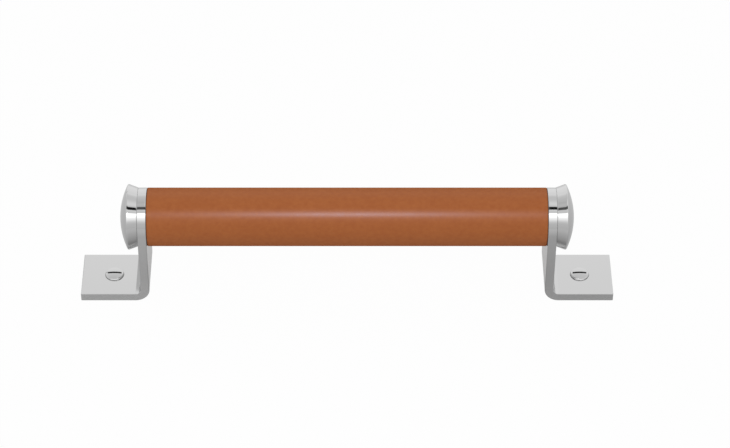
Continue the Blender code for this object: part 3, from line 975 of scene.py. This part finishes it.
def stage_piece(name, grid, material):
    """An open sheet of the stage, from one grid of points."""
    mesh = bpy.data.meshes.new(name)
    mesh.from_pydata(grid.reshape(-1, 3).tolist(), [], grid_faces(*grid.shape[:2]).tolist())
    mesh.materials.append(material)
    item = placed(name, mesh)
    return item


def disc(radius, height):
    """A flat disc: the radius times the cosine and sine of a full turn, from the centre out."""
    angle = line(0, 2 * math.pi, DISC_STEPS)[None, :]
    r = np.array((0.0, radius))[:, None]
    return np.stack((r * np.cos(angle), r * np.sin(angle), height + 0 * r * angle), axis=-1)


def arch(middle, back, radii, start, end):
    """A flat ring sector that stands across the view: the radii times the cosine and sine of the angle."""
    angle = line(start, end, ARCH_STEPS)[None, :]
    r = np.array(radii)[:, None]
    x, z = middle + r * np.cos(angle), STRIP_THICKNESS + r * np.sin(angle)
    return np.stack((x, back + 0 * x, z), axis=-1)


def ball(radius):
    """A ball about the origin: rise from pole to pole, turn once round."""
    turn = line(0, 2 * math.pi, BALL_STEPS)[None, :]
    rise = line(-QUARTER, QUARTER, BALL_STEPS // 2)[:, None]
    level = radius * np.cos(rise)
    return np.stack((level * np.cos(turn), level * np.sin(turn), radius * np.sin(rise) + 0 * turn), axis=-1)


def make_lights(look):
    """A tent, a table top with the handle's shadow painted in, and a glowing grey arch for a painted
    reflection, all seen only by the gloss, and a small lamp in front of the grip.

    The lamp is two in one place: one for the dull surfaces and one for their sheen.
    """
    reflected_only(stage_piece("light_tent", ball(TENT_RADIUS), tent_cloth()))
    reflected_only(stage_piece("table_top", disc(TABLE_RADIUS, TABLE_HEIGHT), table_top()))
    bend_start = -(STRIP_LOW[0] + BEND_OUTER_RADIUS)
    paper = arch(bend_start, ARCH_BACK, ARCH_RADII, ARCH_START, math.pi)
    reflected_only(stage_piece("grey_arch", paper, grey_arch_glow()))
    forward, up = LAMP_DISTANCE * math.cos(LAMP_ANGLE), LAMP_DISTANCE * math.sin(LAMP_ANGLE)
    for name, watts in (("front_lamp", look.lamp_watts), ("sheen_lamp", look.sheen_watts)):
        data = bpy.data.lights.new(name, "AREA")
        data.shape = "DISK"
        data.size = LAMP_WIDTH
        data.energy = watts
        lamp = placed(name, data)
        lamp.location = (0.0, -forward, AXIS_HEIGHT + up)
        lamp.rotation_euler = (QUARTER - LAMP_ANGLE, 0.0, 0.0)
        lamp.visible_glossy = name == "sheen_lamp"
        lamp.visible_diffuse = name == "front_lamp"


def make_world(look):
    """White behind the handle; what lights the dull surfaces is an even grey."""
    world = bpy.data.worlds.new("studio")
    bpy.context.scene.world = world
    world.use_nodes = True
    tree = world.node_tree
    even = tree.nodes["Background"]
    feed(tree, even, {"Color": WHITE, "Strength": look.even_light})
    white = add_node(tree, "ShaderNodeBackground", {"Color": WHITE, "Strength": 1.0})
    show_mixed(tree, "World Output", seen_as_background(tree), even, white)


def make_camera(look):
    """Looks down on the bar's middle from the front; a small shift sets the bar as the photograph has it."""
    picture_width, picture_height = 730.0, 448.0
    middle_x, middle_y = 347.08, 216.83
    data = bpy.data.cameras.new("camera")
    data.sensor_width = 36.0
    data.lens = look.focal_pixels / picture_width * data.sensor_width
    data.shift_x = (picture_width / 2 - middle_x) / picture_width
    data.shift_y = (middle_y - picture_height / 2) / picture_width
    data.clip_end = 20.0
    camera = placed("camera", data)
    away, rise = math.cos(look.elevation), math.sin(look.elevation)
    camera.location = (0.0, -look.distance * away, AXIS_HEIGHT + look.distance * rise)
    camera.rotation_euler = (QUARTER - look.elevation, 0.0, 0.0)
    bpy.context.scene.camera = camera


class PULLHANDLE_OT_grip(bpy.types.Operator):
    """Rolls the leather round the bar"""

    bl_idname = "pull_handle.grip"
    bl_label = "Leather Grip"

    def execute(self, context):
        dress(leather_grip(), "leather", "leather_sleeve")
        return {"FINISHED"}


class PULLHANDLE_OT_brackets(bpy.types.Operator):
    """Bends the two feet with their arms"""

    bl_idname = "pull_handle.brackets"
    bl_label = "Feet and Arms"

    def execute(self, context):
        for side_name, side in SIDES:
            dress(bracket(side_name, side), "chrome", f"{side_name}_bracket")
        return {"FINISHED"}


class PULLHANDLE_OT_caps(bpy.types.Operator):
    """Turns the two end caps"""

    bl_idname = "pull_handle.caps"
    bl_label = "End Caps"

    def execute(self, context):
        for side_name, side in SIDES:
            dress(end_cap(side_name, side), "chrome", f"{side_name}_end_cap")
        return {"FINISHED"}


class PULLHANDLE_OT_fasteners(bpy.types.Operator):
    """Makes the foot screws and the studs, and gives the bar its finish"""

    bl_idname = "pull_handle.fasteners"
    bl_label = "Screws, Studs and Bar"

    def execute(self, context):
        for side_name, side in SIDES:
            dress(foot_screw(side_name, side), "chrome", f"{side_name}_foot_screw")
            dress(tie_stud(side_name, side), "stud", f"{side_name}_tie_stud")
        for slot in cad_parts["core_bar"].material_slots:
            slot.material = finished("turned_aluminium")
        return {"FINISHED"}


class PULLHANDLE_OT_stage(bpy.types.Operator):
    """Sets up the floor, the light and the camera"""

    bl_idname = "pull_handle.stage"
    bl_label = "Stage"

    def execute(self, context):
        look = context.scene.pull_handle_stage
        stage_piece("floor", disc(FLOOR_RADIUS, FLOOR_HEIGHT), white_board())
        make_lights(look)
        make_world(look)
        make_camera(look)
        context.scene.view_settings.view_transform = "Standard"
        return {"FINISHED"}


class PULLHANDLE_PT_panel(bpy.types.Panel):
    """Lists the handle's settings and the steps that build it"""

    bl_idname = "PULLHANDLE_PT_panel"
    bl_label = "Pull Handle"
    bl_space_type = "VIEW_3D"
    bl_region_type = "UI"
    bl_category = "Pull Handle"

    def draw(self, context):
        for name, group in SETTINGS.items():
            box = self.layout.box()
            for key in group.__annotations__:
                box.prop(getattr(context.scene, name), key)
        for operator in OPERATORS:
            self.layout.operator(operator.bl_idname)


SETTINGS = {
    "pull_handle_leather": LeatherSettings,
    "pull_handle_metal": MetalSettings,
    "pull_handle_screws": ScrewSettings,
    "pull_handle_stage": StageSettings,
}
OPERATORS = (
    PULLHANDLE_OT_grip,
    PULLHANDLE_OT_brackets,
    PULLHANDLE_OT_caps,
    PULLHANDLE_OT_fasteners,
    PULLHANDLE_OT_stage,
)


def register():
    """Adds the settings, the operators and the panel."""
    for name, group in SETTINGS.items():
        bpy.utils.register_class(group)
        setattr(bpy.types.Scene, name, PointerProperty(type=group))
    for item in (*OPERATORS, PULLHANDLE_PT_panel):
        bpy.utils.register_class(item)


def unregister():
    """Takes the panel, the operators and the settings out again."""
    for item in reversed((*OPERATORS, PULLHANDLE_PT_panel)):
        bpy.utils.unregister_class(item)
    for name, group in reversed(SETTINGS.items()):
        delattr(bpy.types.Scene, name)
        bpy.utils.unregister_class(group)


def main():
    """Builds the handle and its stage."""
    register()
    bpy.ops.pull_handle.grip()
    bpy.ops.pull_handle.brackets()
    bpy.ops.pull_handle.caps()
    bpy.ops.pull_handle.fasteners()
    bpy.ops.pull_handle.stage()


if __name__ == "__main__":
    main()
